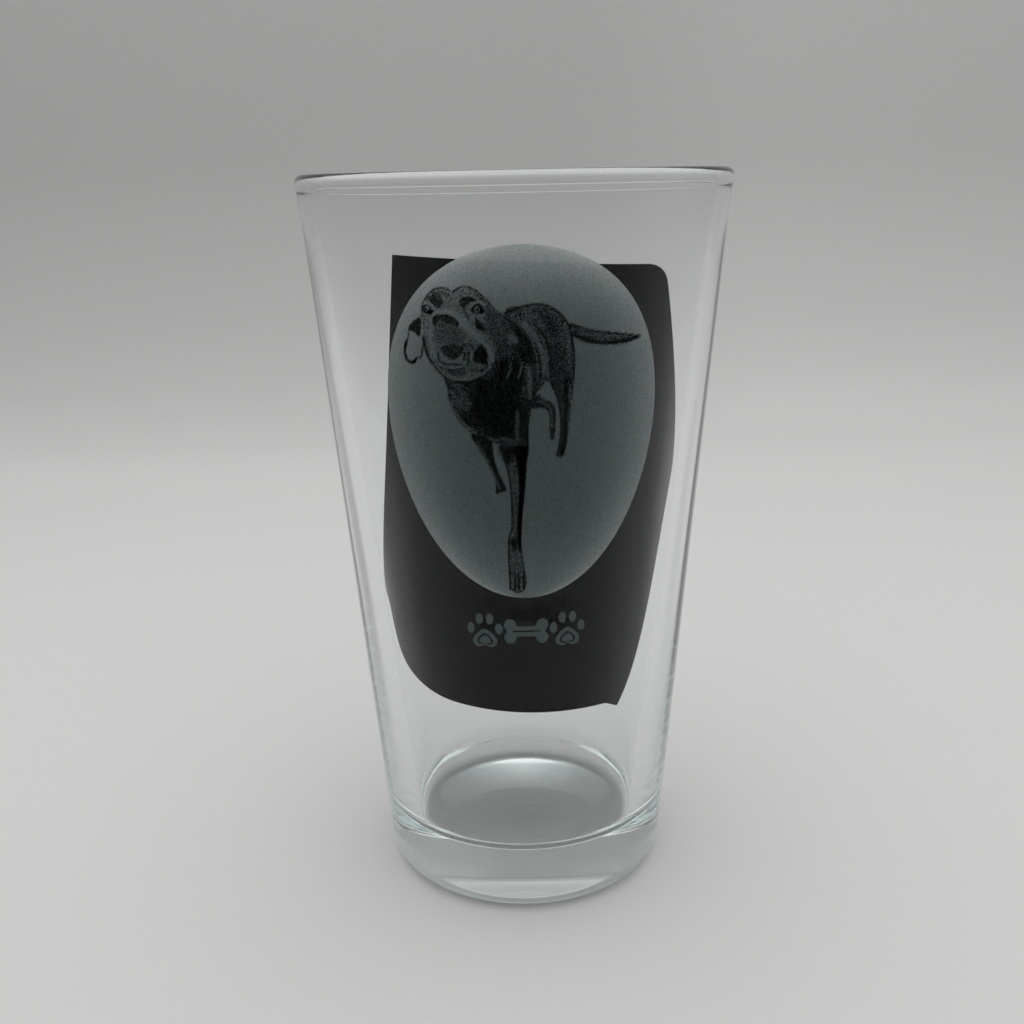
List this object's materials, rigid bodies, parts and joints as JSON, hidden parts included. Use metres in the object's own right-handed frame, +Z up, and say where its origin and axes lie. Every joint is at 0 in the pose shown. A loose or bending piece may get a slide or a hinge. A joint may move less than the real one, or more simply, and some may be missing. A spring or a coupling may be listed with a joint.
{
  "type": "pint glass",
  "caption": "Conical shaker pint glass with a thick base, a beaded rim and an etched oval picture, and a curled black card that stands inside behind the picture.",
  "frame": {"origin": "centre of the foot, on the surface that the glass stands on", "axes": "+Z up along the glass's axis, -Y out of the etched picture, +X to the right as one faces the picture"},
  "size_m": [0.086, 0.086, 0.1492],
  "materials": {
    "clear_glass": "fire-polished clear soda-lime glass with a faint blue-green tint in its thick parts",
    "etched_glass": "laser-etched frost on the outer surface, matt, with a fine upright grain",
    "black_card": "matt black card with soft cut edges"
  },
  "bodies": {
    "glass": {"glass_tumbler": "clear_glass"},
    "insert": {"insert_card": "black_card"}
  },
  "joints": [
    {"name": "insert_lift", "type": "slide", "parent": "glass", "child": "insert", "axis": [0, 0, 1], "range_m": [0, 0.12]}
  ]
}
